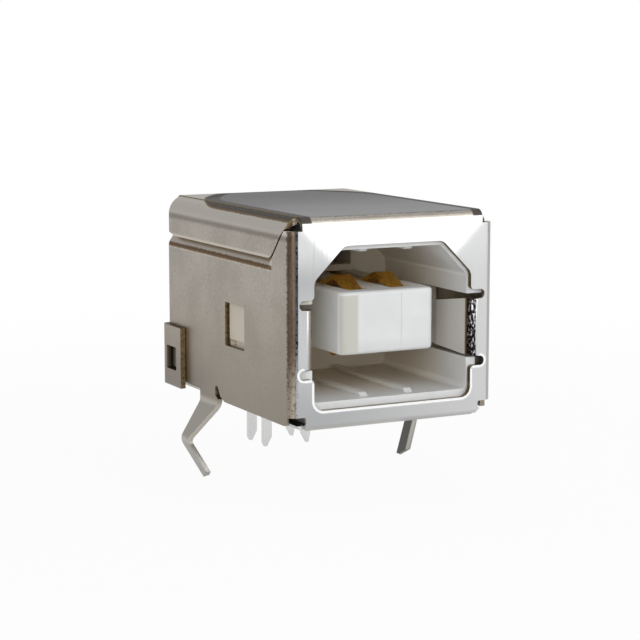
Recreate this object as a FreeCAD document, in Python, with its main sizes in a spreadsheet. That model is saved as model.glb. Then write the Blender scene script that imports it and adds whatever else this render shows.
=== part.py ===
import FreeCAD, Part
import math
import os
import Sketcher

# A board-mounted type B socket: a folded sheet shield round a moulded housing with four spring contacts.
# X runs to the right as seen from the plug's side, Y runs from the mouth to the back, and Z is up.
# The origin lies on the board, midway between the two legs. Lengths are millimetres, angles degrees.

os.makedirs("parts", exist_ok=True)
doc = FreeCAD.newDocument("usb_b_socket")

# Driving dimensions. A "reach" is measured back from the outer face of the front plate,
# a "foot" up from the board, and a "back" forward from the outer face of the rear plate.
DIMENSIONS = {
    # folded shield
    "shell_width": 12.04,
    "shell_height": 11.0,
    "shell_depth": 16.0,
    "gauge": 0.3,
    "row_back": 1.29,
    "wall_back": 0.4,
    "corner_bend": 0.5,
    "roof_bend": 0.45,
    "shoulder_bend": 1.05,
    "face_inset": 0.72,
    "wall_foot": 0.3,
    "rear_foot": 0.6,
    "corner_drop": 0.7,
    "relief_round": 0.12,
    # skirt of the roof, and the step in the wall below it
    "skirt_drop": 2.24,
    "skirt_back": 0.45,
    "skirt_nose": 2.27,
    "skirt_top_nose": 0.5,
    "skirt_nose_step": 0.15,
    "skirt_nose_round": 0.85,
    "skirt_heel_run": 0.75,
    "skirt_heel_rise": 0.18,
    "skirt_slit": 0.16,
    "joggle": 0.42,
    "joggle_bend": 0.15,
    "joggle_land": 0.2,
    # mouth and its spring fingers
    "mouth_side": 0.06,
    "mouth_over": 0.25,
    "mouth_under": 0.38,
    "mouth_chamfer": 1.74,
    "mouth_corner": 0.55,
    "mouth_shoulder": 0.6,
    "mouth_lip": 0.2,
    "finger_under": 1.77,
    "finger_over": 2.93,
    "finger_set": 0.45,
    "finger_bend": 0.4,
    "finger_lean": 0.2,
    "finger_flare": 0.3,
    "finger_sweep": 0.8,
    "finger_hollow": 3.3,
    "finger_length": 4.9,
    "finger_tip_low": 0.3,
    "finger_tip_high": 0.65,
    "notch": 0.5,
    "notch_reach": 0.39,
    # reliefs where two folds meet
    "foot_relief": 0.9,
    "foot_relief_height": 0.78,
    "foot_relief_reach": 0.72,
    "floor_inset": 1.14,
    "brow_relief": 0.3,
    "brow_relief_round": 0.28,
    # windows in the walls
    "window_reach": 5.45,
    "window_length": 2.45,
    "window_foot": 3.47,
    "window_height": 2.37,
    # clip ears of the rear plate, and the lanced steps they catch on
    "ear_back": 2.7,
    "ear_foot": 0.2,
    "ear_height": 3.45,
    "ear_gap": 0.03,
    "ear_bend": 0.45,
    "catch_back": 2.07,
    "catch_length": 1.4,
    "catch_foot": 1.13,
    "catch_height": 1.34,
    "catch_round": 0.15,
    "catch_proud": 0.24,
    "catch_play": 0.15,
    # legs and the slits that free them
    "leg_root_front": 1.05,
    "leg_root_back": 1.33,
    "leg_knee_front": 0.22,
    "leg_knee_back": 1.05,
    "leg_tip_front": 0.42,
    "leg_tip_back": 0.3,
    "leg_lap": 1.0,
    "leg_bend_drop": 0.1,
    "leg_knee_drop": 2.12,
    "leg_drop": 4.3,
    "leg_splay": 1.38,
    "leg_tip_splay": 0.28,
    "leg_tip_shear": 0.45,
    "leg_neck": 0.15,
    "leg_bend": 0.6,
    "slit_mouth": 0.9,
    "slit_run": 0.33,
    "slit_rise": 0.72,
    "slit_gap": 0.34,
    "slit_waist": 0.23,
    # moulded housing
    "fit": 0.04,
    "cavity_side": 1.44,
    "cavity_foot": 1.43,
    "cavity_over": 1.79,
    "cavity_chamfer": 1.66,
    "cavity_round": 0.3,
    "cavity_back": 6.8,
    "bulkhead": 1.6,
    "tongue_width": 5.6,
    "tongue_height": 3.28,
    "tongue_nose": 0.64,
    "tongue_round": 0.45,
    "tongue_edge": 0.2,
    "rib_pitch": 2.68,
    "rib_width": 0.45,
    "rib_height": 0.2,
    "rib_nose": 0.75,
    "rib_ramp": 0.25,
    "bay_width": 7.2,
    "bay_over": 1.4,
    "port_window": 4.7,
    "port_window_foot": 0.35,
    "rail_foot": 0.05,
    "rail_bevel": 0.45,
    "block_bevel": 0.35,
    "front_bevel": 0.14,
    "front_pocket": 2.5,
    "brow_pocket": 3.5,
    "finger_slot_depth": 0.4,
    "finger_slot_under": 0.08,
    "finger_slot_run": 0.4,
    "latch_proud": 0.16,
    "latch_foot": 0.38,
    "latch_back": 0.2,
    "sink_length": 0.75,
    "sink_depth": 0.35,
    # contacts
    "contact_pitch": 2.5,
    "contact_width": 1.0,
    "contact_nose": 0.74,
    "contact_gauge": 0.25,
    "contact_sink": 0.15,
    "contact_play": 0.08,
    "arch_start": 1.6,
    "arch_peak": 3.55,
    "arch_end": 5.45,
    "arch_rise": 0.62,
    "low_arch_rise": 0.48,
    "arch_bend": 0.5,
    "row_rear": 4.71,
    "row_pitch": 2.0,
    "tail_width": 0.55,
    "tail_drop": 3.49,
    "tail_shoulder": 2.7,
    "tail_point": 0.12,
    "tail_shear": 0.56,
    "tail_nick": 0.2,
    # tail aligner
    "aligner_foot": 0.1,
    "aligner_height": 1.8,
    "aligner_back": 0.55,
    "lug": 0.25,
    "lug_foot": 0.7,
    "lug_height": 0.6,
    "lug_reach": 0.8,
    "lug_length": 2.4,
}


class Size:
    """A length that carries its number and the formula that ties it to the sheet."""

    def __init__(self, value, formula):
        self.value = value
        self.formula = formula

    def __add__(self, other):
        return Size(self.value + number(other), f"({self.formula} + {formula(other)})")

    def __radd__(self, other):
        return self + other

    def __sub__(self, other):
        return Size(self.value - number(other), f"({self.formula} - {formula(other)})")

    def __rsub__(self, other):
        return Size(number(other) - self.value, f"({formula(other)} - {self.formula})")

    def __mul__(self, other):
        return Size(self.value * number(other), f"({self.formula} * {formula(other)})")

    def __rmul__(self, other):
        return self * other

    def __truediv__(self, other):
        return Size(self.value / number(other), f"({self.formula} / {formula(other)})")

    def __neg__(self):
        return Size(-self.value, f"(0 - {self.formula})")


def number(size):
    """The number behind a size or a plain number."""
    return size.value if isinstance(size, Size) else float(size)


def formula(size):
    """The formula behind a size or a plain number."""
    return size.formula if isinstance(size, Size) else f"{float(size):.6f}"


sheet = doc.addObject("Spreadsheet::Sheet", "Sizes")
for line, (alias, value) in enumerate(DIMENSIONS.items(), start=1):
    sheet.set(f"A{line}", alias)
    sheet.set(f"B{line}", str(value))
    sheet.setAlias(f"B{line}", alias)
doc.recompute()


class Sheet:
    """Reads a named size of the sheet as an attribute."""

    def __getattr__(self, alias):
        return Size(DIMENSIONS[alias], f"Sizes.{alias}")


D = Sheet()

# Sizes that follow from the driving ones.
leg_back = D.row_rear + D.row_back
leg_reach = D.shell_depth - leg_back
half_width = D.shell_width / 2
inner_half = half_width - D.gauge
face_half = half_width - D.face_inset
floor_half = half_width - D.floor_inset
foot_half = half_width - D.foot_relief
roof_inside = D.shell_height - D.gauge
skirt_foot = D.shell_height - D.skirt_drop
joggle_foot = skirt_foot - D.joggle
corner_top = D.shell_height - D.corner_drop
cavity_half = half_width - D.cavity_side
cavity_floor = D.cavity_foot
cavity_roof = D.shell_height - D.cavity_over
port_height = (cavity_floor + cavity_roof) / 2
tongue_low = port_height - D.tongue_height / 2
tongue_high = port_height + D.tongue_height / 2
mouth_half = cavity_half + D.mouth_side
finger_low = cavity_floor + D.finger_under
finger_high = cavity_roof - D.finger_over
finger_root = mouth_half + D.finger_set
notch_tip = finger_root + D.notch_reach
lap = 0.02
beyond = 1.0


def depth(reach):
    """The Y of a place that lies the given distance behind the front plate's outer face."""
    return reach - leg_reach


def ahead(back):
    """The Y of a place that lies the given distance in front of the rear plate's outer face."""
    return leg_back - back


face_inside = depth(D.gauge)
wall_rear = ahead(D.wall_back)
cavity_rear = ahead(D.cavity_back)
bay_front = cavity_rear + D.bulkhead


def bind(thing, path, size):
    """Ties a property or constraint to the sheet."""
    thing.setExpression(path, formula(size))


def fix(sketch, kind, *where, size=None):
    """Adds a constraint, and ties it to the sheet when it carries a size."""
    if size is None:
        return sketch.addConstraint(Sketcher.Constraint(kind, *where))
    index = sketch.addConstraint(Sketcher.Constraint(kind, *where, number(size)))
    if isinstance(size, Size):
        bind(sketch, f"Constraints[{index}]", size)
    return index


def pin_point(sketch, geometry, end, place):
    """Ties a point of the sketch to its two coordinates."""
    fix(sketch, "DistanceX", -1, 1, geometry, end, size=place[0])
    fix(sketch, "DistanceY", -1, 1, geometry, end, size=place[1])


def spot(place):
    """The sketch vector of a place."""
    return FreeCAD.Vector(number(place[0]), number(place[1]), 0)


def radius_at(corner):
    """The radius of a corner, or nothing when it is sharp."""
    return corner[2] if len(corner) > 2 else None


def corner_arc(before, corner, after, radius):
    """Where a rounded corner leaves its two sides, its arc, and whether it turns left."""
    to_before = (before - corner).normalize()
    to_after = (after - corner).normalize()
    half = to_before.getAngle(to_after) / 2
    start = corner + to_before * (radius / math.tan(half))
    end = corner + to_after * (radius / math.tan(half))
    centre = corner + (to_before + to_after).normalize() * (radius / math.sin(half))
    left = (corner - before).cross(after - corner).z > 0
    first, last = (start, end) if left else (end, start)
    angles = [math.atan2((p - centre).y, (p - centre).x) for p in (first, last)]
    circle = Part.Circle(centre, FreeCAD.Vector(0, 0, 1), radius)
    return start, end, Part.ArcOfCircle(circle, *angles), left


def draw_outline(sketch, corners):
    """Draws a closed outline of straight sides, with rounded corners where a radius is given."""
    count = len(corners)
    points = [spot(corner) for corner in corners]
    arrive, leave, arcs = list(points), list(points), {}
    for i, corner in enumerate(corners):
        radius = radius_at(corner)
        if radius is not None:
            arrive[i], leave[i], arc, left = corner_arc(
                points[i - 1], points[i], points[(i + 1) % count], number(radius))
            arcs[i] = (arc, left, radius)
    sides = [sketch.addGeometry(Part.LineSegment(leave[i], arrive[(i + 1) % count]), False)
             for i in range(count)]
    for i, corner in enumerate(corners):
        into, out = sides[i - 1], sides[i]
        if i not in arcs:
            fix(sketch, "Coincident", into, 2, out, 1)
            pin_point(sketch, out, 1, corner)
            continue
        arc, left, radius = arcs[i]
        bend = sketch.addGeometry(arc, False)
        fix(sketch, "Tangent", into, 2, bend, 1 if left else 2)
        fix(sketch, "Tangent", bend, 2 if left else 1, out, 1)
        fix(sketch, "Radius", bend, size=radius)
        apex = sketch.addGeometry(Part.Point(points[i]), True)
        fix(sketch, "PointOnObject", apex, 1, into)
        fix(sketch, "PointOnObject", apex, 1, out)
        pin_point(sketch, apex, 1, corner)


def offset_points(points, distance):
    """The same open path, moved sideways to its left by a distance."""
    moved = []
    for i, point in enumerate(points):
        normals = []
        for a, b in ((i - 1, i), (i, i + 1)):
            if a >= 0 and b < len(points):
                run = (points[b] - points[a]).normalize()
                normals.append(FreeCAD.Vector(-run.y, run.x, 0))
        lean = normals[0] + normals[-1]
        moved.append(point + lean * (distance * 2 / lean.dot(lean)))
    return moved


def draw_strip(sketch, path, gauge):
    """Draws a bent strip: one face follows the path, the other lies a gauge to its left."""
    points = [spot(place) for place in path]
    faces = []
    for line, shift in ((points, 0), (offset_points(points, number(gauge)), 1)):
        arrive, leave, bends = list(line), list(line), {}
        for i in range(1, len(line) - 1):
            left = (line[i] - line[i - 1]).cross(line[i + 1] - line[i]).z > 0
            radius = radius_at(path[i])
            if shift:
                radius = radius - gauge if left else radius + gauge
            arrive[i], leave[i], arc, left = corner_arc(line[i - 1], line[i], line[i + 1], number(radius))
            bends[i] = (sketch.addGeometry(arc, False), left, radius)
        sides = [sketch.addGeometry(Part.LineSegment(leave[i], arrive[i + 1]), False)
                 for i in range(len(line) - 1)]
        for i, (bend, left, radius) in bends.items():
            fix(sketch, "Tangent", sides[i - 1], 2, bend, 1 if left else 2)
            fix(sketch, "Tangent", bend, 2 if left else 1, sides[i], 1)
            fix(sketch, "Radius", bend, size=radius)
        faces.append((line, sides))
    (line, sides), (other_line, other_sides) = faces
    for i in range(1, len(line) - 1):
        apex = sketch.addGeometry(Part.Point(line[i]), True)
        fix(sketch, "PointOnObject", apex, 1, sides[i - 1])
        fix(sketch, "PointOnObject", apex, 1, sides[i])
        pin_point(sketch, apex, 1, path[i])
    pin_point(sketch, sides[0], 1, path[0])
    pin_point(sketch, sides[-1], 2, path[-1])
    for side, other in zip(sides, other_sides):
        fix(sketch, "Parallel", side, other)
        fix(sketch, "Distance", other, 1, side, size=gauge)
    for end, place in ((1, 0), (2, -1)):
        cap = sketch.addGeometry(Part.LineSegment(line[place], other_line[place]), False)
        fix(sketch, "Coincident", cap, 1, sides[place], end)
        fix(sketch, "Coincident", cap, 2, other_sides[place], end)
        fix(sketch, "Perpendicular", cap, sides[place])


def new_body(name):
    """A body whose label names the piece's file."""
    body = doc.addObject("PartDesign::Body", name)
    body.Label = name
    return body


def prism(body, name, plane, outlines, start, end, cut=False, strips=()):
    """Pads or cuts outlines of an origin plane from one value of the plane's axis to another."""
    sketch = body.newObject("Sketcher::SketchObject", name + "_sketch")
    origin = next(part for part in body.Origin.OriginFeatures if part.Role == plane + "_Plane")
    sketch.AttachmentSupport = [(origin, "")]
    sketch.MapMode = "FlatFace"
    backward = plane == "XZ"
    bind(sketch, "AttachmentOffset.Base.z", -start if backward else start)
    for outline in outlines:
        draw_outline(sketch, outline)
    for path, gauge in strips:
        draw_strip(sketch, path, gauge)
    before = body.Shape.Volume if body.Tip else 0
    feature = body.newObject("PartDesign::Pocket" if cut else "PartDesign::Pad", name)
    feature.Profile = sketch
    feature.Reversed = backward != cut
    bind(feature, "Length", end - start)
    sketch.Visibility = False
    doc.recompute()
    after = body.Shape.Volume
    if not feature.isValid() or (cut and after > before - 1e-6) or (not cut and after < before + 1e-6):
        raise RuntimeError(f"{body.Label}: {name} changed nothing ({before:.4f} to {after:.4f})")
    return feature


def box(low_x, high_x, low_y, high_y):
    """The four corners of a rectangle, round from its low corner."""
    return [(low_x, low_y), (high_x, low_y), (high_x, high_y), (low_x, high_y)]


def mirrored(corners):
    """An outline on the other side of the middle, drawn the same way round."""
    return [(-corner[0], *corner[1:]) for corner in reversed(corners)]


def both_sides(corners):
    """An outline and its mirror image."""
    return [corners, mirrored(corners)]


def fillet(body, name, chosen, radius):
    """Rounds the edges of the body's present shape that a test picks."""
    base = body.Tip
    edges = [f"Edge{i}" for i, edge in enumerate(base.Shape.Edges, start=1) if chosen(edge)]
    feature = body.newObject("PartDesign::Fillet", name)
    feature.Base = (base, edges)
    bind(feature, "Radius", radius)
    doc.recompute()
    return feature


def to_the_left(path):
    """A strip's path on the other side of the middle."""
    return [(-place[0], *place[1:]) for place in path]


def spans(near, far):
    """The named X spans of a feature that stands on both sides, left one first."""
    return (("left", -far, -near), ("right", near, far))


def build_shield():
    """The shield: one blank of plated sheet, pierced, then folded round the housing."""
    body = new_body("shield_shell")

    # Roof with its two side skirts, whose slanted noses are sheared before the fold.
    skirt_rear = ahead(D.skirt_back)
    skirt = [
        (inner_half, skirt_foot),
        (half_width, skirt_foot),
        (half_width, D.shell_height, D.shoulder_bend),
        (-half_width, D.shell_height, D.shoulder_bend),
        (-half_width, skirt_foot),
        (-inner_half, skirt_foot),
        (-inner_half, roof_inside, D.shoulder_bend - D.gauge),
        (inner_half, roof_inside, D.shoulder_bend - D.gauge),
    ]
    prism(body, "roof_and_skirts", "XZ", [skirt], depth(D.skirt_top_nose), skirt_rear)
    slant_top = D.shell_height - D.roof_bend
    slant_reach = D.skirt_top_nose + D.skirt_nose_step
    nose = [
        (depth(-beyond), skirt_foot - beyond),
        (depth(D.skirt_nose + beyond), skirt_foot - beyond),
        (depth(D.skirt_nose + beyond), skirt_foot),
        (depth(D.skirt_nose), skirt_foot, D.skirt_nose_round),
        (depth(slant_reach), slant_top),
        (depth(D.skirt_top_nose), D.shell_height + beyond),
        (depth(-beyond), D.shell_height + beyond),
    ]
    prism(body, "skirt_noses", "YZ", [nose], -half_width - beyond, half_width + beyond, cut=True)
    heel = [
        (skirt_rear + beyond, skirt_foot - beyond),
        (skirt_rear + beyond, skirt_foot + D.skirt_heel_rise),
        (skirt_rear, skirt_foot + D.skirt_heel_rise),
        (skirt_rear - D.skirt_heel_run, skirt_foot),
        (skirt_rear - D.skirt_heel_run, skirt_foot - beyond),
    ]
    prism(body, "skirt_heels", "YZ", [heel], -half_width - beyond, half_width + beyond, cut=True)

    # Front plate, roof and rear plate in one band, with the floor flange turned back under the housing.
    inner_bend = D.roof_bend - D.gauge
    floor_rear = bay_front - D.fit
    rear_inside = ahead(D.gauge)
    band = [
        (floor_rear, 0),
        (floor_rear, D.gauge),
        (face_inside, D.gauge, inner_bend),
        (face_inside, roof_inside, inner_bend),
        (rear_inside, roof_inside, inner_bend),
        (rear_inside, D.ear_foot),
        (ahead(0), D.ear_foot),
        (ahead(0), D.shell_height, D.roof_bend),
        (depth(0), D.shell_height, D.roof_bend),
        (depth(0), 0, D.roof_bend),
    ]
    prism(body, "face_roof_and_back", "YZ", [band], -face_half, face_half)

    # Folded corners between the front plate and the walls.
    corner_rear = depth(D.corner_bend + D.relief_round)
    wrap = [
        (half_width, corner_rear),
        (inner_half, corner_rear),
        (inner_half, face_inside, D.corner_bend - D.gauge),
        (-inner_half, face_inside, D.corner_bend - D.gauge),
        (-inner_half, corner_rear),
        (-half_width, corner_rear),
        (-half_width, depth(0), D.corner_bend),
        (half_width, depth(0), D.corner_bend),
    ]
    prism(body, "face_corners", "XY", [wrap], D.wall_foot, corner_top)

    # Side walls: flush in front of the skirts' noses, stepped in by one gauge behind the skirts.
    slant = (D.skirt_nose - slant_reach) / (slant_top - skirt_foot)
    slit_foot = depth(D.skirt_nose - D.skirt_slit) + D.joggle * slant
    slit_top = slit_foot - (corner_top - joggle_foot) * slant
    leg_rear = D.leg_root_back
    leg_front = -D.leg_root_front
    step_foot = joggle_foot - D.joggle_land
    wall = [
        (depth(D.corner_bend), D.wall_foot),
        (leg_rear, D.wall_foot),
        (leg_rear, D.rear_foot),
        (wall_rear, D.rear_foot),
        (wall_rear, step_foot),
        (slit_foot, step_foot),
        (slit_foot, joggle_foot),
        (slit_top, corner_top),
        (depth(D.corner_bend), corner_top),
    ]
    step_top = skirt_foot + D.joggle_land
    panel_top = D.shell_height - D.shoulder_bend - D.fit
    panel = [
        (slit_foot - (step_top - joggle_foot) * slant - D.gauge, step_top),
        (wall_rear, step_top),
        (wall_rear, panel_top),
        (slit_foot - (panel_top - joggle_foot) * slant - D.gauge, panel_top),
    ]
    step = [
        (inner_half, step_top),
        (inner_half, skirt_foot, D.joggle_bend),
        (half_width, joggle_foot, D.joggle_bend + D.gauge),
        (half_width, step_foot),
    ]
    for name, low, high in spans(inner_half, half_width):
        prism(body, f"{name}_wall", "YZ", [wall], low, high)
    for name, low, high in spans(inner_half - D.gauge, inner_half):
        prism(body, f"{name}_panel", "YZ", [panel], low, high)
    prism(body, "right_step", "XZ", [], slit_foot, wall_rear, strips=[(list(reversed(step)), D.gauge)])
    prism(body, "left_step", "XZ", [], slit_foot, wall_rear, strips=[(to_the_left(step), D.gauge)])

    # Mouth, with a notch above and below each finger.
    notch_round = D.notch / 2 * 0.96
    right = [
        (mouth_half, cavity_floor - D.mouth_under, D.mouth_corner),
        (mouth_half, finger_low - D.notch, D.mouth_lip),
        (notch_tip, finger_low - D.notch, notch_round),
        (notch_tip, finger_low, notch_round),
        (finger_root, finger_low),
        (finger_root, finger_high),
        (notch_tip, finger_high, notch_round),
        (notch_tip, finger_high + D.notch, notch_round),
        (mouth_half, finger_high + D.notch, D.mouth_lip),
        (mouth_half, cavity_roof + D.mouth_over - D.mouth_chamfer, D.mouth_shoulder),
        (mouth_half - D.mouth_chamfer, cavity_roof + D.mouth_over, D.mouth_shoulder),
    ]
    prism(body, "mouth", "XZ", [right + mirrored(right)], depth(-beyond), depth(D.gauge + D.fit), cut=True)

    # Spring fingers, turned back from the front plate, leaning on the plug's sides and narrowing to the tip.
    finger_face = finger_root - D.finger_bend
    tip = depth(D.finger_length)
    finger = [
        (finger_root + lap, depth(0)),
        (finger_face, depth(0), D.finger_bend),
        (finger_face - D.finger_lean, depth(D.finger_hollow), D.finger_sweep),
        (finger_face - D.finger_lean + D.finger_flare, tip),
    ]
    low, high = finger_low + lap, finger_high - lap
    prism(body, "right_finger", "XY", [], low, high, strips=[(list(reversed(finger)), D.gauge)])
    prism(body, "left_finger", "XY", [], low, high, strips=[(to_the_left(finger), D.gauge)])
    taper = [
        [(depth(D.finger_bend), high + lap), (tip, high - D.finger_tip_high),
         (tip + beyond, high - D.finger_tip_high), (tip + beyond, high + lap)],
        [(depth(D.finger_bend), low - lap), (tip, low + D.finger_tip_low),
         (tip + beyond, low + D.finger_tip_low), (tip + beyond, low - lap)],
    ]
    prism(body, "finger_tapers", "YZ", taper, -finger_root, finger_root, cut=True)

    # Reliefs where two folds meet: the lower corners, the sides of the floor flange, the upper corners.
    foot = [
        (foot_half, D.foot_relief_height, D.relief_round),
        (half_width + beyond, D.foot_relief_height),
        (half_width + beyond, -beyond),
        (floor_half, -beyond),
        (floor_half, D.rail_foot),
        (foot_half, D.gauge),
    ]
    prism(body, "foot_reliefs", "XZ", both_sides(foot), depth(-beyond), depth(D.foot_relief_reach),
          cut=True)
    flange_side = box(floor_half, half_width + beyond, -beyond, D.gauge)
    prism(body, "floor_sides", "XZ", both_sides(flange_side), depth(D.corner_bend), floor_rear + beyond,
          cut=True)
    brow_rear = depth(D.skirt_top_nose + D.brow_relief)
    brow = [
        (face_half, depth(-beyond)),
        (half_width + beyond, depth(-beyond)),
        (half_width + beyond, depth(D.skirt_top_nose)),
        (half_width - lap, brow_rear, D.brow_relief_round),
        (face_half - lap, brow_rear, D.brow_relief_round),
        (face_half - lap, depth(D.roof_bend)),
        (face_half, depth(D.roof_bend)),
    ]
    prism(body, "roof_reliefs", "XY", both_sides(brow), corner_top, D.shell_height + beyond, cut=True)

    # Windows that show the housing's latches.
    window = box(depth(D.window_reach), depth(D.window_reach + D.window_length),
                 D.window_foot, D.window_foot + D.window_height)
    window = [(*corner, D.relief_round) for corner in window]
    prism(body, "latch_windows", "YZ", [window], -half_width - beyond, half_width + beyond, cut=True)

    # Legs: tapered strips, splayed and then turned back in, which grip the board's holes.
    leg = [
        (half_width, D.wall_foot + D.leg_lap),
        (half_width, -D.leg_bend_drop, D.leg_bend),
        (half_width + D.leg_splay, -D.leg_knee_drop, D.leg_bend),
        (half_width + D.leg_tip_splay, -D.leg_drop),
    ]
    prism(body, "right_leg", "XZ", [], leg_front, leg_rear, strips=[(list(reversed(leg)), D.gauge)])
    prism(body, "left_leg", "XZ", [], leg_front, leg_rear, strips=[(to_the_left(leg), D.gauge)])
    slit = [
        (leg_front - D.slit_mouth, D.wall_foot),
        (leg_front, D.wall_foot),
        (leg_front + D.slit_run, D.wall_foot + D.slit_gap / 2),
        (leg_front + D.slit_run, D.wall_foot + D.slit_rise, D.relief_round),
        (leg_front + D.slit_run - D.slit_gap, D.wall_foot + D.slit_rise, D.relief_round),
        (leg_front - D.slit_gap, D.wall_foot + D.slit_waist),
    ]
    prism(body, "leg_slits", "YZ", [slit], -half_width - beyond, half_width + beyond, cut=True)
    flank = [
        (leg_front - beyond, D.wall_foot - lap),
        (leg_front - beyond, -D.leg_drop - beyond),
        (D.leg_tip_back, -D.leg_drop - beyond),
        (D.leg_tip_back, -D.leg_drop + lap),
        (-D.leg_tip_front, -D.leg_drop + D.leg_tip_shear),
        (D.leg_knee_front, -D.leg_knee_drop, D.leg_bend),
        (leg_front + D.leg_neck, -D.leg_bend_drop, D.leg_bend / 2),
        (leg_front, D.wall_foot - lap),
    ]
    back = [
        (leg_rear + beyond, D.leg_bend_drop),
        (leg_rear, D.leg_bend_drop),
        (D.leg_knee_back, -D.leg_knee_drop, D.leg_bend),
        (D.leg_tip_back, -D.leg_drop + lap),
        (D.leg_tip_back, -D.leg_drop - beyond),
        (leg_rear + beyond, -D.leg_drop - beyond),
    ]
    for name, low, high in spans(inner_half - D.fit, half_width + D.leg_splay + beyond):
        prism(body, f"{name}_leg_front", "YZ", [flank], low, high, cut=True)
        prism(body, f"{name}_leg_back", "YZ", [back], low, high, cut=True)

    # Clip ears of the rear plate, wrapped round the walls, each pierced where it catches on a lanced step.
    ear_half = half_width + D.ear_gap + D.gauge
    clip = [
        (ear_half, ahead(D.ear_back)),
        (ear_half, ahead(0), D.ear_bend),
        (-ear_half, ahead(0), D.ear_bend),
        (-ear_half, ahead(D.ear_back)),
    ]
    ear_top = D.ear_foot + D.ear_height
    prism(body, "rear_clip", "XY", [], D.ear_foot, ear_top, strips=[(clip, D.gauge)])
    catch_front = ahead(D.catch_back)
    catch_rear = catch_front + D.catch_length
    catch_top = D.catch_foot + D.catch_height
    catch = box(catch_front, catch_rear, D.catch_foot, catch_top)
    catch = [(*corner, D.catch_round) for corner in catch]
    for name, low, high in spans(half_width + D.ear_gap / 2, half_width + beyond):
        prism(body, f"{name}_catch_window", "YZ", [catch], low, high, cut=True)
    lance = [
        (inner_half + D.fit, catch_front + D.catch_play),
        (half_width + D.catch_proud, catch_front + D.catch_play),
        (half_width, catch_rear - D.catch_play),
        (inner_half + D.fit, catch_rear - D.catch_play),
    ]
    prism(body, "catches", "XY", both_sides(lance), D.catch_foot + D.catch_play, catch_top - D.catch_play)
    return body


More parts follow.
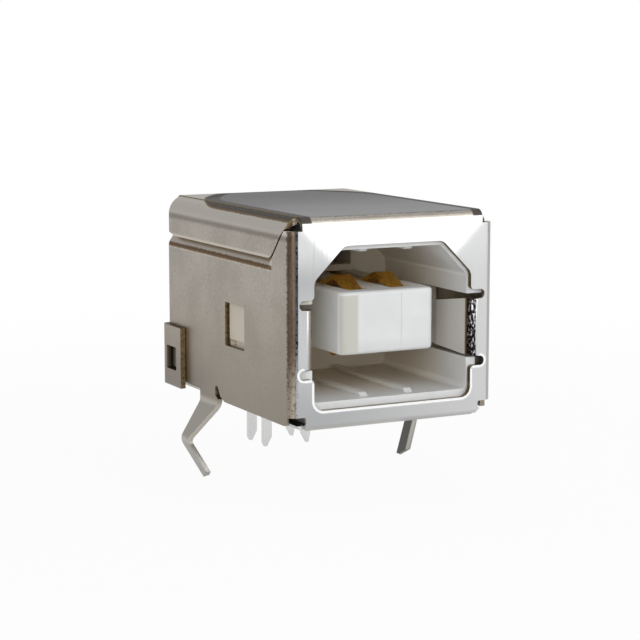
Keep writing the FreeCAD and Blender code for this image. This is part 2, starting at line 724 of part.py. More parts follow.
def build_housing():
    """The housing: one white moulding with the plug's cavity, the tongue and the bay for the tails."""
    body = new_body("housing")
    side = inner_half - D.fit
    upper_side = side - D.gauge
    shoulder = joggle_foot - D.joggle
    top = roof_inside - D.fit
    sill = D.gauge + D.fit
    front = depth(D.gauge + D.fit)
    rear = wall_rear - D.fit
    rail_inside = floor_half + D.fit
    right = [
        (rail_inside, sill),
        (rail_inside, D.rail_foot),
        (side - D.rail_bevel, D.rail_foot),
        (side, D.rail_foot + D.rail_bevel),
        (side, shoulder),
        (upper_side, shoulder),
        (upper_side, top - D.block_bevel),
        (upper_side - D.block_bevel, top),
    ]
    prism(body, "block", "XZ", [right + mirrored(right)], front, rear)

    # Rails that start behind the shield's lower bend, and front edges broken to clear its inner bends.
    nose_half = foot_half + D.fit
    rail_nose = box(rail_inside - beyond, nose_half, -beyond, sill)
    prism(body, "rail_noses", "XZ", both_sides(rail_nose), depth(0), depth(D.corner_bend + D.fit), cut=True)
    corner = [
        (side - D.front_bevel, front),
        (side - D.front_bevel, front - beyond),
        (side + beyond, front - beyond),
        (side + beyond, front + D.front_bevel),
        (side, front + D.front_bevel),
    ]
    prism(body, "front_corners", "XY", both_sides(corner), -beyond, D.shell_height, cut=True)
    brow = [
        (front - beyond, top - D.front_bevel),
        (front, top - D.front_bevel),
        (front + D.front_bevel, top),
        (front + D.front_bevel, top + beyond),
        (front - beyond, top + beyond),
    ]
    prism(body, "front_brow", "YZ", [brow], -half_width, half_width, cut=True)
    lower = [
        (front - beyond, sill - beyond),
        (front + D.front_bevel, sill - beyond),
        (front + D.front_bevel, sill),
        (front, sill + D.front_bevel),
        (front - beyond, sill + D.front_bevel),
    ]
    prism(body, "front_sill", "YZ", [lower], -nose_half, nose_half, cut=True)

    # Plug cavity with its two bevelled upper corners.
    cavity = [
        (cavity_half, cavity_floor, D.cavity_round),
        (cavity_half, cavity_roof - D.cavity_chamfer, D.cavity_round),
        (cavity_half - D.cavity_chamfer, cavity_roof, D.cavity_round),
    ]
    prism(body, "cavity", "XZ", [cavity + mirrored(cavity)], depth(0), cavity_rear, cut=True)

    # Guide ribs on the cavity's floor and roof, ramped at the mouth.
    rib_near = (D.rib_pitch - D.rib_width) / 2
    for name, low, high in spans(rib_near, rib_near + D.rib_width):
        for place, base, rise in (("floor", cavity_floor, D.rib_height),
                                  ("roof", cavity_roof, -D.rib_height)):
            rib = [
                (depth(D.rib_nose), base),
                (depth(D.rib_nose + D.rib_ramp), base + rise),
                (cavity_rear, base + rise),
                (cavity_rear, base),
            ]
            prism(body, f"{name}_{place}_rib", "YZ", [rib], low, high)

    # Tongue that carries the contacts, rounded at its nose.
    tongue_half = D.tongue_width / 2
    nose = depth(D.tongue_nose)
    plan = [
        (-tongue_half, cavity_rear),
        (-tongue_half, nose, D.tongue_round),
        (tongue_half, nose, D.tongue_round),
        (tongue_half, cavity_rear),
    ]
    prism(body, "tongue", "XY", [plan], tongue_low, tongue_high)

    def at_nose(edge):
        middle = edge.CenterOfMass
        level = min(abs(middle.z - number(tongue_low)), abs(middle.z - number(tongue_high))) < 1e-6
        along = number(nose) - 1e-6 < middle.y < number(nose + D.tongue_round)
        return level and along and abs(middle.x) < number(tongue_half)

    fillet(body, "tongue_nose_edges", at_nose, D.tongue_edge)

    # Slots for the contacts, along the tongue and on through the bulkhead.
    slot_near = (D.contact_pitch - D.contact_width) / 2 - D.contact_play
    slot_far = (D.contact_pitch + D.contact_width) / 2 + D.contact_play
    slot_depth = D.contact_sink + D.contact_gauge + D.contact_play
    for place, low, high in (("upper", tongue_high - slot_depth, tongue_high),
                             ("lower", tongue_low, tongue_low + slot_depth)):
        slot = box(slot_near, slot_far, low, high)
        prism(body, f"{place}_contact_slots", "XZ", both_sides(slot), depth(D.arch_start) - D.contact_play,
              bay_front + D.fit, cut=True)

    # Side slots, cut through to the shield's walls, that the fingers lie in.
    slot = box(cavity_half - D.finger_slot_depth, half_width,
               finger_low - D.finger_slot_under, finger_high + D.notch / 2)
    slot_rear = depth(D.finger_length + D.finger_slot_run)
    prism(body, "finger_slots", "XZ", both_sides(slot), depth(0), slot_rear, cut=True)

    # Bay behind the bulkhead, where the tails turn down, and the port above the tongue.
    bay_half = D.bay_width / 2
    bay = box(-bay_half, bay_half, -beyond, roof_inside - D.bay_over)
    prism(body, "tail_bay", "XZ", [bay], bay_front, rear + beyond, cut=True)
    port = box(-D.port_window / 2, D.port_window / 2, tongue_high + D.port_window_foot, cavity_roof)
    prism(body, "bulkhead_port", "XZ", [port], cavity_rear - D.fit, bay_front + D.fit, cut=True)
    groove = box(bay_half - D.fit, bay_half + D.lug + D.fit,
                 D.lug_foot - D.fit, D.lug_foot + D.lug_height + D.fit)
    groove_front = bay_front + D.lug_reach
    prism(body, "aligner_grooves", "XZ", both_sides(groove), groove_front, groove_front + D.lug_length,
          cut=True)

    # Latches that stand in the shield's windows, each with a sink mark under its rear end.
    window_rear = depth(D.window_reach + D.window_length)
    latch_foot = D.window_foot + D.latch_foot
    latch = box(depth(D.window_reach) + D.fit, window_rear - D.latch_back,
                latch_foot, D.window_foot + D.window_height - D.fit)
    sink = box(window_rear - D.sink_length, window_rear, D.window_foot, latch_foot)
    for name, low, high in spans(side - D.fit, side + D.latch_proud):
        prism(body, f"{name}_latch", "YZ", [latch], low, high)
    for name, low, high in spans(side - D.sink_depth, half_width):
        prism(body, f"{name}_sink", "YZ", [sink], low, high, cut=True)

    # Pockets behind the shield's corner reliefs.
    low_pocket = box(floor_half, inner_half, D.gauge, D.foot_relief_height + D.relief_round)
    high_pocket = box(upper_side - D.shoulder_bend, inner_half, corner_top - D.brow_relief, D.shell_height)
    prism(body, "low_pockets", "XZ", both_sides(low_pocket), depth(0), depth(D.front_pocket), cut=True)
    prism(body, "high_pockets", "XZ", both_sides(high_pocket), depth(0), depth(D.brow_pocket), cut=True)
    return body


def build_contact(name, side, upper):
    """A contact: a gold-plated strip with a sprung arch on the tongue and a tail through the board."""
    body = new_body(name)
    out = 1 if upper else -1
    tongue_face = tongue_high if upper else tongue_low
    level = tongue_face - D.contact_sink * out
    row = D.row_rear if upper else D.row_rear - D.row_pitch
    tail_face = row + D.contact_gauge / 2 * out
    turn = D.arch_bend if upper else D.arch_bend - D.contact_gauge
    rise = D.arch_rise if upper else D.low_arch_rise
    path = [
        (depth(D.arch_start), level - lap * out),
        (depth(D.arch_peak), tongue_face + rise * out, D.arch_bend),
        (depth(D.arch_end), level, D.arch_bend),
        (tail_face, level, turn),
        (tail_face, -D.tail_drop),
    ]
    if upper:
        path = list(reversed(path))
    middle = D.contact_pitch / 2 * side
    half = D.contact_width / 2
    prism(body, "strip", "YZ", [], middle - half, middle + half, strips=[(path, D.contact_gauge)])

    # The spring narrows from its arch to its nose.
    nose = D.contact_nose / 2
    start = depth(D.arch_start)
    right_flank = [
        (middle + half, depth(D.arch_peak)),
        (middle + nose, start),
        (middle + nose, start - beyond),
        (middle + half + beyond, start - beyond),
        (middle + half + beyond, depth(D.arch_peak)),
    ]
    left_flank = [
        (middle - half, depth(D.arch_peak)),
        (middle - half - beyond, depth(D.arch_peak)),
        (middle - half - beyond, start - beyond),
        (middle - nose, start - beyond),
        (middle - nose, start),
    ]
    prism(body, "nose_taper", "XY", [right_flank, left_flank], tongue_low - beyond, tongue_high + beyond,
          cut=True)

    # The tail is narrower than the spring. Its tip is sheared to an off-centre point:
    # long on the right and nicked on the left, or long on both sides on the right-hand contacts.
    tail = D.tail_width / 2
    foot = -D.tail_drop
    point = middle + D.tail_width / 6 * side
    point_half = D.tail_point / 2
    left_shear = D.tail_nick if side < 0 else D.tail_shear
    long_side = [
        (middle + half + beyond, D.tail_shoulder),
        (middle + tail, D.tail_shoulder),
        (middle + tail, foot + D.tail_shear),
        (point + point_half, foot),
        (point + point_half, foot - beyond),
        (middle + half + beyond, foot - beyond),
    ]
    short_side = [
        (middle - half - beyond, D.tail_shoulder),
        (middle - half - beyond, foot - beyond),
        (point - point_half, foot - beyond),
        (point - point_half, foot),
        (middle - tail, foot + left_shear),
        (middle - tail, D.tail_shoulder),
    ]
    prism(body, "tail_shear", "XZ", [long_side, short_side], row - beyond, row + beyond, cut=True)
    return body


def build_aligner():
    """The tail aligner: a moulded plate in the bay's foot that holds the tails at the board's pitch."""
    body = new_body("tail_aligner")
    half = D.bay_width / 2 - D.fit
    top = D.aligner_foot + D.aligner_height
    plate = box(-half, half, D.aligner_foot, top)
    prism(body, "plate", "XZ", [plate], bay_front + D.fit, ahead(D.aligner_back))
    lug = box(half - D.fit, half + D.lug, D.lug_foot, D.lug_foot + D.lug_height)
    lug_front = bay_front + D.lug_reach
    prism(body, "lugs", "XZ", both_sides(lug), lug_front + D.fit, lug_front + D.lug_length - D.fit)
    across = D.tail_width / 2 + D.fit
    along = D.contact_gauge / 2 + D.fit
    middle = D.contact_pitch / 2
    for row, place in ((D.row_rear, "rear"), (D.row_rear - D.row_pitch, "front")):
        hole = box(middle - across, middle + across, row - along, row + along)
        prism(body, f"{place}_tail_holes", "XY", both_sides(hole), D.aligner_foot - D.fit, top + D.fit,
              cut=True)
    return body


pieces = [
    build_shield(),
    build_housing(),
    build_contact("contact_upper_left", -1, True),
    build_contact("contact_upper_right", 1, True),
    build_contact("contact_lower_left", -1, False),
    build_contact("contact_lower_right", 1, False),
    build_aligner(),
]
doc.recompute()

for thing in doc.Objects:
    if {"Invalid", "Error"} & set(thing.State):
        raise RuntimeError(f"{thing.Label} failed: {thing.State}")
for piece in pieces:
    shape = piece.Shape
    if shape.isNull() or not shape.isValid():
        raise RuntimeError(f"{piece.Label} has no valid shape")
    if len(shape.Solids) != 1:
        raise RuntimeError(f"{piece.Label} came out as {len(shape.Solids)} solids")
    print(f"{piece.Label}: {shape.Volume:.3f} mm3, box {shape.BoundBox}")
for piece in pieces:
    piece.Shape.exportStep(f"parts/{piece.Label}.step")
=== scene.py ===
import math

import bpy
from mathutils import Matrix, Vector


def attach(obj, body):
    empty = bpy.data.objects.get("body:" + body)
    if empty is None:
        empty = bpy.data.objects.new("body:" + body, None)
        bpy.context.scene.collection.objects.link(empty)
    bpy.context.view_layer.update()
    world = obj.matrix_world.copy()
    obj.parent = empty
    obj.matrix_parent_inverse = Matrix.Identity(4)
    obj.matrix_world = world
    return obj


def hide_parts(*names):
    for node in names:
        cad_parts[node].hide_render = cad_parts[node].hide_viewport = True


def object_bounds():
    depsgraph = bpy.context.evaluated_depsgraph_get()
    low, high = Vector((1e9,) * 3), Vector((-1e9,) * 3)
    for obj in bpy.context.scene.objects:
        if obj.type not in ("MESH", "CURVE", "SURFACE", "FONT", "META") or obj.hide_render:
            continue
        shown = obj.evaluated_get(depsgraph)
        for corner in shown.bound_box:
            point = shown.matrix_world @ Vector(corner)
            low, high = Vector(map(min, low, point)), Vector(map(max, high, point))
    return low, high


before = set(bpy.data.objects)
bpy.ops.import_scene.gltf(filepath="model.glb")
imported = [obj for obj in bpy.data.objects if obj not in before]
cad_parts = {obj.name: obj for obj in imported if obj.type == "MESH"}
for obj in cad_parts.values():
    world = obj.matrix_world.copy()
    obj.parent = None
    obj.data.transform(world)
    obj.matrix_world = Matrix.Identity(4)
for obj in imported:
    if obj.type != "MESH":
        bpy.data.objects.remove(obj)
cad_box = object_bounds()

# Floor, light and camera. The socket stands on its leg tips on a white table. A large soft box lights it
# from the front on the right, with weaker ones at its left and overhead, and it is seen from the left.


class Shade:
    """A value or colour that a material works out, held as the socket that carries it."""

    def __init__(self, tree, socket=None):
        self.tree = tree
        self.socket = socket

    def node(self, kind, settings=(), sockets=(), out=0):
        """Adds a node, makes its settings, fills its sockets, and hands back one of its outputs."""
        made = self.tree.nodes.new("ShaderNode" + kind)
        for name, value in dict(settings).items():
            setattr(made, name, value)
        for name, value in dict(sockets).items():
            if isinstance(value, Shade):
                self.tree.links.new(value.socket, made.inputs[name])
            else:
                made.inputs[name].default_value = value
        return Shade(self.tree, made.outputs[out] if made.outputs else None)

    def maths(self, operation, first, second=0.0):
        return self.node("Math", {"operation": operation}, {0: first, 1: second})

    def __add__(self, other):
        return self.maths("ADD", self, other)

    __radd__ = __add__

    def __sub__(self, other):
        return self.maths("SUBTRACT", self, other)

    def __rsub__(self, other):
        return self.maths("SUBTRACT", other, self)

    def __mul__(self, other):
        return self.maths("MULTIPLY", self, other)

    __rmul__ = __mul__

    def __neg__(self):
        return self.maths("MULTIPLY", self, -1.0)

    def __abs__(self):
        return self.maths("ABSOLUTE", self)

    def between(self, low, high):
        """Rises smoothly from 0 to 1 while this value goes from low to high."""
        return self.node("MapRange", {"interpolation_type": "SMOOTHSTEP"},
                         {"Value": self, "From Min": low, "From Max": high})

    def below(self, low, high):
        """Falls smoothly from 1 to 0 while this value goes from low to high."""
        return 1 - self.between(low, high)

    def at_least(self, other):
        """The larger of this value and another."""
        return self.maths("MAXIMUM", self, other)

    def near(self, middle, half, soft):
        """Is 1 within a half width of a middle value, and falls to 0 over a soft border."""
        return 1 - abs(self - middle).between(half - soft / 2, half + soft / 2)

    def tinted(self, first, second):
        """A colour that goes from the first to the second as this value goes from 0 to 1."""
        return self.node("Mix", {"data_type": "RGBA"}, {"Factor": self, 6: first, 7: second}, out=2)


def new_material(name):
    """A node material with nothing in it, and a shade to start its tree from."""
    made = bpy.data.materials.new(name)
    made.use_nodes = True
    made.node_tree.nodes.clear()
    return made, Shade(made.node_tree)


def colour(red, green, blue):
    return (red, green, blue, 1.0)


table_level = cad_box[0][2]
bpy.ops.object.select_all(action="DESELECT")
bpy.ops.mesh.primitive_plane_add(size=4.0, location=(0, 0, table_level))
table = bpy.context.object
table.name = "table"

# The table glows white to the camera, so that only a trace of the socket's shadow is left on it.
table_white, shade = new_material("table_white")
lit = shade.node("BsdfDiffuse", (), {"Color": colour(0.86, 0.86, 0.85)})
glow = shade.node("Emission", (), {"Color": colour(1, 1, 1), "Strength": 1.0})
seen = shade.node("LightPath", out=0)
mirrored = shade.node("LightPath", out=3)
away = shade.node("VectorMath", {"operation": "LENGTH"}, {0: shade.node("TexCoord", out=3)}, out=1)
shown = 0.94 + 0.06 * away.between(0.02, 0.08)
mixed = shade.node("MixShader", (), {0: seen * shown + mirrored * 0.5, 1: lit, 2: glow})
shade.node("OutputMaterial", (), {"Surface": mixed})
table.data.materials.append(table_white)

world = bpy.data.worlds.new("studio")
bpy.context.scene.world = world
world.use_nodes = True
world.node_tree.nodes.clear()
shade = Shade(world.node_tree)
seen = shade.node("LightPath", out=0)
mirrored = shade.node("LightPath", out=3)
side = shade.node("VectorMath", {"operation": "DOT_PRODUCT"},
                  {0: shade.node("TexCoord", out=0), 1: (0.45, -0.87, 0.1)}, out=1)
backdrop = shade.node("Background", (), {"Color": colour(1, 1, 1), "Strength": 1.0})
room_back = shade.node("Background", (), {"Color": colour(0.97, 0.98, 1.0), "Strength": 0.40})
room_front = shade.node("Background", (), {"Color": colour(0.95, 0.97, 1.0), "Strength": 0.62})
room = shade.node("MixShader", (), {0: side.between(-0.4, 0.7), 1: room_back, 2: room_front})
shown = seen + mirrored * 0.1
shade.node("OutputWorld", (), {"Surface": shade.node("MixShader", (), {0: shown, 1: room, 2: backdrop})})


def soft_box(name, place, aim, size, power):
    """A square soft box at a place, turned towards what it lights."""
    bpy.ops.object.light_add(type="AREA", location=place)
    box = bpy.context.object
    box.name = name
    box.data.shape = "SQUARE"
    box.data.size = size
    box.data.energy = power
    toward = [goal - start for goal, start in zip(aim, place)]
    flat = math.hypot(toward[0], toward[1])
    box.rotation_euler = (math.atan2(flat, -toward[2]), 0, math.atan2(-toward[0], toward[1]))


middle = (0, 0, 0.005)
soft_box("key", (0.09, -0.16, 0.13), middle, 0.14, 0.06)
soft_box("low_key", (0.26, -0.39, 0.08), middle, 0.36, 0.50)
soft_box("fill", (-0.15, -0.20, 0.055), middle, 0.14, 0.19)
soft_box("overhead", (0.02, 0.08, 0.24), middle, 0.20, 0.10)

bpy.ops.object.camera_add(location=(-0.04863, -0.09615, 0.02010),
                          rotation=(math.radians(81.58), 0, math.radians(-27.22)))
camera = bpy.context.object
camera.data.lens = 108.64
camera.data.sensor_width = 36.0
camera.data.clip_start = 0.001
bpy.context.scene.camera = camera
bpy.context.scene.view_settings.view_transform = "Standard"

# Shield: one blank of nickel-plated sheet, pierced and folded round the housing. Its faces keep the
# rolled sheen under painted light and shade, the folds are crazed and brown with painted dark
# reflections, and the sheared edges show the base metal.
gauge = 0.0003


def welded_copy(node, name):
    """A piece of its own from a CAD node, with its triangles welded and its flat faces whole again."""
    piece = bpy.data.objects.new(name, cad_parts[node].data.copy())
    bpy.context.collection.objects.link(piece)
    bpy.ops.object.select_all(action="DESELECT")
    bpy.context.view_layer.objects.active = piece
    piece.select_set(True)
    bpy.ops.object.mode_set(mode="EDIT")
    bpy.ops.mesh.select_all(action="SELECT")
    bpy.ops.mesh.remove_doubles(threshold=1e-6)
    bpy.ops.mesh.dissolve_limited(angle_limit=math.radians(0.4))
    bpy.ops.object.mode_set(mode="OBJECT")
    piece.data.materials.clear()
    return piece


def soften(piece, width, rolled=None, rolled_width=0.0):
    """Breaks the piece's sharp edges by a small round, and by a larger one where a test picks them."""
    bpy.ops.object.mode_set(mode="EDIT")
    bpy.ops.mesh.select_mode(type="EDGE")
    bpy.ops.mesh.select_all(action="DESELECT")
    bpy.ops.mesh.edges_select_sharp(sharpness=math.radians(32))
    bpy.ops.object.mode_set(mode="OBJECT")
    most = max(width, rolled_width)
    weights = piece.data.attributes.new("bevel_weight_edge", "FLOAT", "EDGE")
    for edge in piece.data.edges:
        ends = [piece.data.vertices[index].co * 1000 for index in edge.vertices]
        picked = rolled is not None and rolled(ends)
        edge_width = rolled_width if picked else width
        weights.data[edge.index].value = edge_width / most if edge.select else 0.0
    bevel = piece.modifiers.new("broken_edges", "BEVEL")
    bevel.width = most
    bevel.segments = 2
    bevel.limit_method = "WEIGHT"
    bpy.ops.object.modifier_apply(modifier=bevel.name)
    bpy.ops.object.shade_smooth_by_angle(angle=math.radians(50))
    flat = piece.modifiers.new("flat_faces_stay_flat", "WEIGHTED_NORMAL")
    flat.weight = 100
    flat.keep_sharp = True
    bpy.ops.object.modifier_apply(modifier=flat.name)


shield = welded_copy("shield_shell", "folded_shield")


def on_mouth(ends):
    """Whether an edge lies on the mouth's outline in the front plate, away from the fingers' roots."""
    at_root = all(3.18 < end.z < 6.30 for end in ends)
    return not at_root and all(
        abs(end.y + 10) < 0.001 and abs(end.x) < 5.5 and 1.0 < end.z < 9.5 for end in ends)


plated_sheet, shade = new_material("plated_sheet")
place = shade.node("TexCoord", out=3)
mm = shade.node("Mapping", (), {"Vector": place, "Scale": (1000, 1000, 1000)})
across, along, height = [shade.node("SeparateXYZ", (), {0: mm}, out=axis) for axis in (0, 1, 2)]
normal = shade.node("TexCoord", out=1)
facing_x, facing_y, facing_z = [
    shade.node("SeparateXYZ", (), {0: normal}, out=axis) for axis in (0, 1, 2)]
facing_plug = -facing_y
off_middle = abs(across)
on_right = across.between(0.0, 0.1)

# Wear and stains that the noise textures break up.
drawn = shade.node("Mapping", (), {"Vector": mm, "Scale": (7, 7, 0.3)})
lines = shade.node("TexNoise", (), {"Vector": drawn, "Scale": 1.0, "Detail": 4.0, "Roughness": 0.6})
blotch = shade.node("TexNoise", (), {"Vector": mm, "Scale": 0.35, "Detail": 4.0, "Roughness": 0.55})
grit = shade.node("TexNoise", (), {"Vector": mm, "Scale": 6.0, "Detail": 3.0, "Roughness": 0.65})
flaw = shade.node("TexNoise", (), {"Vector": mm, "Scale": 13.0, "Detail": 1.0, "Roughness": 0.5})
jitter = grit - 0.5

# Grey of each face, with slow shifts that follow the photograph, most of them painted light and shade:
# the walls warm and mottled, with painted shade darker below and low at the left wall's rear, the roof
# with painted shade darker to the back, the front plate painted light, pale, darker to its left and
# lighter at its left middle and top, and the legs painted shade, darker low down and the right one
# darker.
on_front = facing_plug.between(0.93, 0.985) * along.below(-9.9, -9.6)
on_front = on_front.at_least(along.below(-9.6, -9.5) * height.below(0.4, 0.5))
on_roof = facing_z.between(0.80, 0.97) * height.between(10.0, 10.4)
on_leg = height.below(-0.2, 0.35)
# Painted shade: the walls darker below.
wall_grey_and_painted_shade = height.between(0.0, 9.0).tinted(colour(0.345, 0.30, 0.245), colour(0.52, 0.475, 0.415))
mottle = (grit + blotch).between(0.75, 1.25)
wall_grey_and_painted_shade = (mottle * 0.5).tinted(wall_grey_and_painted_shade, colour(0.30, 0.265, 0.22))
# Painted shade: the left wall darker low down at its rear.
low_rear_painted_shade = height.below(0.5, 3.5) * along.between(-3.0, 3.0) * across.near(-6.2, 1.0, 0.2)
wall_grey_and_painted_shade = (low_rear_painted_shade * 0.6).tinted(wall_grey_and_painted_shade, colour(0.22, 0.19, 0.165))
# Painted shade: the roof darker to the back.
roof_painted_shade_to_back = (along + blotch * 5).between(-7.0, 6.0)
roof_grey_and_painted_shade = roof_painted_shade_to_back.tinted(colour(0.44, 0.43, 0.42), colour(0.19, 0.18, 0.175))
# Painted light: the front plate pale, darker to its left, lighter at its left middle and top.
face_grey_and_painted_light = across.between(-6.5, 6.5).tinted(colour(0.49, 0.495, 0.50), colour(0.70, 0.70, 0.695))
left_middle_painted_light = height.near(4.6, 2.2, 3.0) * across.below(-5.0, 0.0)
face_grey_and_painted_light = (left_middle_painted_light * 0.6).tinted(face_grey_and_painted_light, colour(0.72, 0.73, 0.735))
face_grey_and_painted_light = height.between(7.5, 9.5).tinted(face_grey_and_painted_light, colour(0.74, 0.74, 0.74))
# Painted shade: the legs darker low down, the right leg darker.
leg_grey_and_painted_shade = height.between(-2.5, -1.9).tinted(colour(0.46, 0.44, 0.41), colour(0.62, 0.58, 0.52))
leg_grey_and_painted_shade = across.between(0.0, 1.0).tinted(leg_grey_and_painted_shade, colour(0.23, 0.22, 0.20))
sheet = on_roof.tinted(wall_grey_and_painted_shade, roof_grey_and_painted_shade)
sheet = on_front.tinted(sheet, face_grey_and_painted_light)
sheet = on_leg.tinted(sheet, leg_grey_and_painted_shade)

# Shoulders: a painted highlight, pale along the fold, with a dark band of painted reflection inside it
# that turns in at the back, a brown painted fringe at its edge, and a dark painted streak low on the
# fold.
turn_in = along.at_least(0.0)
band_middle = 5.2 - turn_in * turn_in * 0.09
band_offset = off_middle - band_middle + jitter * 0.12
upper = height.between(9.95, 10.2) * facing_z.between(-0.2, 0.1)
upper = upper * (1 - on_front) * along.below(5.45, 5.6)
shoulder_painted_highlight = upper * band_offset.between(0.2, 0.4)
sheet = shoulder_painted_highlight.tinted(sheet, colour(0.78, 0.73, 0.65))
painted_dark_band = upper * abs(band_offset).below(0.40, 0.52)
painted_band_black = along.between(2.0, 3.5).tinted(colour(0.085, 0.075, 0.065), colour(0.012, 0.011, 0.01))
sheet = painted_dark_band.tinted(sheet, painted_band_black)
painted_band_fringe = upper * band_offset.near(0.47, 0.05, 0.08)
sheet = painted_band_fringe.tinted(sheet, colour(0.16, 0.10, 0.045))
painted_dark_streak = (height + jitter * 0.15).near(9.9, 0.12, 0.2) * (1 - on_front)
sheet = (painted_dark_streak * 0.65).tinted(sheet, colour(0.17, 0.15, 0.12))

# Step below the skirts, painted pale as painted light, with a dark brown painted reflection along its
# foot.
step = height.near(8.5, 0.40, 0.1) * off_middle.between(5.3, 5.4) * along.between(-8.0, -7.8)
sheet = step.tinted(sheet, colour(0.66, 0.60, 0.52))
step_foot_painted_reflection = (height + jitter * 0.2).near(8.27, 0.12, 0.10) * step
sheet = step_foot_painted_reflection.tinted(sheet, colour(0.16, 0.088, 0.03))

# Left fold: brown and crazed near the foot, the brown partly crazed plating and partly painted dark
# reflection; along its wall an olive line, and where the front plate starts a blue-black line, both
# painted dark reflection.
upright = abs(facing_z).below(0.2, 0.4) * along.below(-9.55, -9.4) * off_middle.between(5.4, 5.5)
plate_start = facing_plug.between(0.93, 0.945)
bend = upright * abs(facing_x).below(0.93, 0.97) * (1 - plate_start)
right_bend = bend * on_right
sheet = right_bend.tinted(sheet, colour(0.50, 0.50, 0.49))
left_bend = bend - right_bend
fold_crazing_and_painted_reflection = height.between(1.2, 4.5) * 0.9 + grit.between(0.55, 0.60) * 0.7
brown = (grit + lines * 0.7).between(0.7, 1.0)
brown = brown.tinted(colour(0.055, 0.035, 0.02), colour(0.13, 0.09, 0.06))
sheet = shade.maths("MINIMUM", left_bend * fold_crazing_and_painted_reflection, 1.0).tinted(sheet, brown)
olive_painted_reflection = upright * (-facing_x).near(0.965, 0.02, 0.02)
olive_painted_reflection = olive_painted_reflection * height.between(1.5, 3.0) * grit.between(0.40, 0.55)
sheet = (olive_painted_reflection * 0.8).tinted(sheet, colour(0.055, 0.045, 0.02))
blue_black_painted_reflection = upright * plate_start * facing_plug.below(0.9970, 0.9993) * (1 - on_right)
blue_black_painted_reflection = blue_black_painted_reflection * (height.between(1.5, 5.0) * 0.85 + grit.between(0.5, 0.6) * 0.3)
sheet = blue_black_painted_reflection.tinted(sheet, colour(0.006, 0.006, 0.025))

# Right wall's front foot, as pale as the plate, and a dark line of painted reflection where the roof
# folds down.
right_foot = across.between(6.0, 6.1) * along.below(-8.6, -8.4) * height.below(0.9, 1.0)
sheet = right_foot.tinted(sheet, colour(0.80, 0.80, 0.79))
roof_fold_painted_reflection = facing_z.near(0.93, 0.06, 0.05) * along.below(-9.8, -9.6) * height.between(10.6, 10.7)
broken = 0.55 + 0.45 * grit.between(0.45, 0.55)
sheet = (roof_fold_painted_reflection * broken).tinted(sheet, colour(0.07, 0.05, 0.04))

# Right finger: its root, where the plating has crazed, the dark brown line past it, and the leaf behind,
# painted pale and less metallic as painted light.
inside = off_middle.below(5.2, 5.25) * height.near(4.75, 1.75, 0.1)
root = inside * on_right * along.below(-9.55, -9.45) * facing_plug.below(0.95, 0.98)
torn = shade.node("Mapping", (), {"Vector": mm, "Scale": (1.3, 1.3, 0.55), "Rotation": (0, 0.35, 0)})
torn = shade.node("TexNoise", (), {"Vector": torn, "Scale": 10.0, "Detail": 2.0, "Roughness": 0.6})
crazed = (torn + (across - 4.86) * 0.30).between(0.50, 0.62)
crazed = crazed.tinted(colour(0.012, 0.009, 0.010), colour(0.60, 0.57, 0.58))
sheet = root.tinted(sheet, crazed)
leaf_painted_light = inside * along.between(-9.6, -9.5)
sheet = leaf_painted_light.tinted(sheet, colour(0.74, 0.725, 0.68))
brown_line_past_root = inside * on_right * along.near(-9.5, 0.10, 0.12)
sheet = brown_line_past_root.tinted(sheet, colour(0.16, 0.10, 0.045))

# Mouth: below the chamfers, a painted highlight whitens its rim, round the lower notches too.
mouth_half = 4.64
mouth_foot = 1.04
mouth_round = 0.56
notch_end = 5.24
notch_middle = 2.95
out_side = (off_middle - (mouth_half - mouth_round)).at_least(0.0)
out_foot = (mouth_foot + mouth_round - height).at_least(0.0)
past_rim = shade.maths("SQRT", out_side * out_side + out_foot * out_foot) - mouth_round
rim_painted_highlight = on_front * past_rim.near(0.05, 0.08, 0.06) * height.below(2.5, 2.6)
out_end = off_middle - notch_end
out_middle = height - notch_middle
past_notch = shade.maths("SQRT", out_end * out_end + out_middle * out_middle)
rim_painted_highlight = rim_painted_highlight + on_front * past_notch.near(0.30, 0.07, 0.06) * off_middle.between(5.15, 5.25)
under_notch = height.near(2.64, 0.07, 0.06) * off_middle.near(4.98, 0.22, 0.06)
rim_painted_highlight = rim_painted_highlight + on_front * under_notch
sheet = rim_painted_highlight.tinted(sheet, colour(0.97, 0.97, 0.96))

# Clips: painted shade in the ears' windows, where the lanced steps catch. Then tarnish, dust and brush
# marks.
clip_window_painted_shade = off_middle.below(6.29, 6.33) * along.near(4.63, 0.75, 0.05) * height.near(1.8, 0.72, 0.05)
clip_window_painted_shade = clip_window_painted_shade * (0.55 + 0.45 * along.between(3.9, 5.0)) * abs(facing_x).between(0.5, 0.8)
sheet = clip_window_painted_shade.tinted(sheet, colour(0.045, 0.035, 0.02))
tarnish = grit.between(0.62, 0.75) * 0.35 * (1 - on_front)
sheet = tarnish.tinted(sheet, colour(0.20, 0.17, 0.14))
dust = flaw.between(0.66, 0.72) * on_roof * 0.7
sheet = dust.tinted(sheet, colour(0.75, 0.75, 0.75))
brushed = lines.between(0.50, 0.66) * on_front * across.below(-5.0, -2.5) * height.between(5.5, 8.0)
sheet = (brushed * 0.22).tinted(sheet, colour(0.40, 0.40, 0.41))

# The front plate is dished a little by its four folds, so that each side of it leans outwards.
plate_half = 5.6
plate_top = 10.6
plate_foot = 0.25
to_top = plate_top - height
to_side = plate_half - off_middle
to_foot = height - plate_foot
rim = shade.node("Math", {"operation": "SMOOTH_MIN"}, {0: to_top, 1: to_side, 2: 0.5})
rim = shade.node("Math", {"operation": "SMOOTH_MIN"}, {0: rim, 1: to_foot, 2: 0.5})
dish = rim.at_least(0.0) * 0.065
surface = dish + lines * 0.0012 + grit * 0.0006
relief = shade.node("Bump", (), {"Height": surface, "Strength": 1.0, "Distance": 0.001})
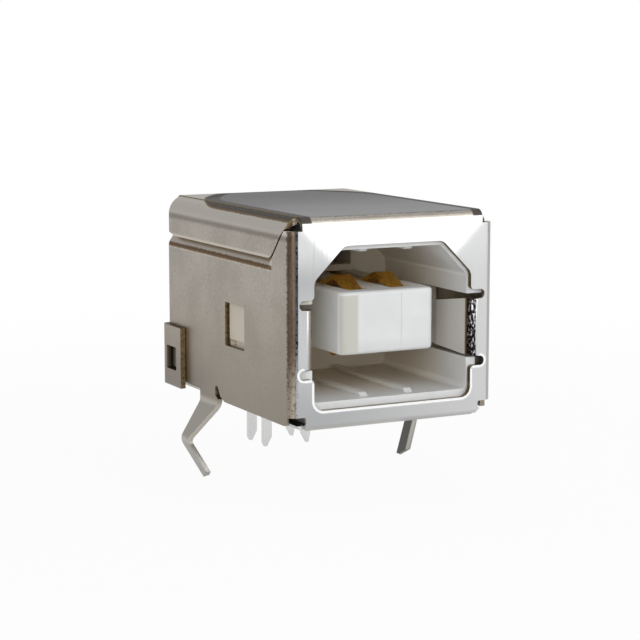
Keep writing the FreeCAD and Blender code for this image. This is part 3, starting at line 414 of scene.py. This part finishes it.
# The painted dark reflections, and the leaf's and the rim's painted light, make the sheet less metallic
# there.
painted_dark_reflection = painted_dark_band.at_least(painted_band_fringe).at_least(blue_black_painted_reflection).at_least(roof_fold_painted_reflection)
bright = 1 - (leaf_painted_light * 0.8).at_least(rim_painted_highlight * 0.8).at_least(painted_dark_reflection * 0.85)
sheet_rough = 0.17 + lines * 0.12 + (1 - on_front) * 0.12
metal = shade.node("BsdfPrincipled", (), {"Base Color": sheet, "Metallic": bright,
                                          "Specular IOR Level": 0.05,
                                          "Roughness": sheet_rough, "Normal": relief})
shade.node("OutputMaterial", (), {"Surface": metal})

sheared_edge, shade = new_material("sheared_edge")
place = shade.node("TexCoord", out=3)
mm = shade.node("Mapping", (), {"Vector": place, "Scale": (1000, 1000, 1000)})
grain = shade.node("TexNoise", (), {"Vector": mm, "Scale": 7.0, "Detail": 3.0, "Roughness": 0.6})
bare = grain.between(0.35, 0.65).tinted(colour(0.17, 0.12, 0.06), colour(0.30, 0.235, 0.14))
metal = shade.node("BsdfPrincipled", (), {"Base Color": bare, "Metallic": 1.0,
                                          "Roughness": 0.30 + grain * 0.2})
shade.node("OutputMaterial", (), {"Surface": metal})

shield.data.materials.append(plated_sheet)
shield.data.materials.append(sheared_edge)
shield.data.calc_loop_triangles()
widest = {}
for piece_of_face in shield.data.loop_triangles:
    known = widest.get(piece_of_face.polygon_index)
    if known is None or known.area < piece_of_face.area:
        widest[piece_of_face.polygon_index] = piece_of_face

# A ray that goes much deeper than the sheet is thick has started on a cut edge.
cut_depth = 2.3 * gauge
for face in shield.data.polygons:
    corners = [shield.data.vertices[index].co for index in widest[face.index].vertices]
    inward = sum(corners, Vector()) / 3 - face.normal * gauge * 0.05
    hit, far_side, _, _ = shield.ray_cast(inward, -face.normal)
    lower_corner = inward.z < 0.0008 and inward.y < -0.009
    shoulder = inward.z > 0.0100 and abs(face.normal.y) < 0.5
    plated = inward.z < 0.0003 or lower_corner or shoulder
    if hit and (far_side - inward).length > cut_depth and not plated:
        face.material_index = 1
soften(shield, 0.00003, on_mouth, 0.00007)
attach(shield, "root")
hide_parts("shield_shell")

# Housing: one white moulding that holds the contacts and fills the shield. Its faces have a fine
# eroded texture, and its corners keep the mould's small rounds.
housing = welded_copy("housing", "moulded_housing")
white_moulding, shade = new_material("white_moulding")
place = shade.node("TexCoord", out=3)
mm = shade.node("Mapping", (), {"Vector": place, "Scale": (1000, 1000, 1000)})
flow = shade.node("TexNoise", (), {"Vector": mm, "Scale": 0.5, "Detail": 3.0, "Roughness": 0.5})
texture = shade.node("TexNoise", (), {"Vector": mm, "Scale": 16.0, "Detail": 2.0, "Roughness": 0.6})
across, along, height = [shade.node("SeparateXYZ", (), {0: mm}, out=axis) for axis in (0, 1, 2)]
paste = flow.between(0.3, 0.7).tinted(colour(0.70, 0.705, 0.70), colour(0.75, 0.755, 0.75))
# Deeper in the bay the paste turns darker and warm brown, a painted shade.
paste = along.between(-9.5, -3.0).tinted(paste, colour(0.66, 0.59, 0.48))

# The tongue's nose has two parting lines, and a foot and a left side darkened by painted shade.
parting = (across + (flow - 0.5) * 0.1).near(0.8, 0.03, 0.04)
faint_parting = (across - flow * 0.1).near(-1.76, 0.02, 0.03) * 0.4
on_nose = along.below(-9.3, -9.2) * height.near(5.3, 1.5, 0.1)
paste = ((parting + faint_parting) * on_nose * 0.3).tinted(paste, colour(0.35, 0.34, 0.32))
foot_shade = along.below(-9.3, -9.2) * height.below(3.8, 4.6) * height.between(3.3, 3.4)
paste = (foot_shade * 0.7).tinted(paste, colour(0.62, 0.62, 0.61))
flank_painted_shade = along.below(-9.2, -9.1) * across.below(-1.85, -1.7) * height.near(5.3, 1.5, 0.1)
paste = flank_painted_shade.tinted(paste, colour(0.56, 0.545, 0.49))

# The corner pockets, and the end of the right lower notch, are painted black as painted shadow.
deep = abs(across).between(4.85, 4.9)
low_hollow = height.near(0.62, 0.33, 0.02) * across.below(0.0, 0.1)
high_hollow = height.between(9.95, 10.0) * along.below(-6.2, -6.1)
notch_hollow = height.near(2.95, 0.3, 0.1) * across.between(5.10, 5.16) * along.below(-9.5, -9.4)
pocket_painted_shadow = deep * low_hollow.at_least(high_hollow).at_least(notch_hollow)
paste = pocket_painted_shadow.tinted(paste, colour(0.02, 0.018, 0.016))
relief = shade.node("Bump", (), {"Height": texture, "Strength": 0.3, "Distance": 0.000006})
plastic = shade.node("BsdfPrincipled", (), {"Base Color": paste, "Roughness": 0.38 + texture * 0.12,
                                            "Normal": relief, "Subsurface Weight": 0.15,
                                            "Subsurface Radius": (0.0006, 0.0006, 0.0005),
                                            "Subsurface Scale": 1.0})
shade.node("OutputMaterial", (), {"Surface": plastic})
housing.data.materials.append(white_moulding)
soften(housing, 0.00005)
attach(housing, "root")
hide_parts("housing")

# Contacts: strips of copper alloy, gold-plated where the plug rubs and tinned on the tails, stamped
# and formed in one piece each.
spring_gold, shade = new_material("spring_gold")
place = shade.node("TexCoord", out=3)
mm = shade.node("Mapping", (), {"Vector": place, "Scale": (1000, 1000, 1000)})
height = shade.node("SeparateXYZ", (), {0: mm}, out=2)
grain = shade.node("TexNoise", (), {"Vector": mm, "Scale": 3.0, "Detail": 3.0, "Roughness": 0.6})
gold = grain.between(0.3, 0.7).tinted(colour(0.74, 0.38, 0.04), colour(0.95, 0.58, 0.09))
finish = height.between(2.2, 2.6).tinted(colour(0.82, 0.83, 0.82), gold)
metal = shade.node("BsdfPrincipled", (), {"Base Color": finish, "Metallic": 1.0,
                                          "Roughness": 0.22 + grain * 0.16})
shade.node("OutputMaterial", (), {"Surface": metal})
for node in ("contact_upper_left", "contact_upper_right", "contact_lower_left", "contact_lower_right"):
    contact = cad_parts[node]
    for slot in contact.material_slots:
        slot.material = spring_gold

# Tail aligner: a moulded plate in the foot of the bay, of the housing's plastic, that spaces the tails.
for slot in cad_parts["tail_aligner"].material_slots:
    slot.material = white_moulding
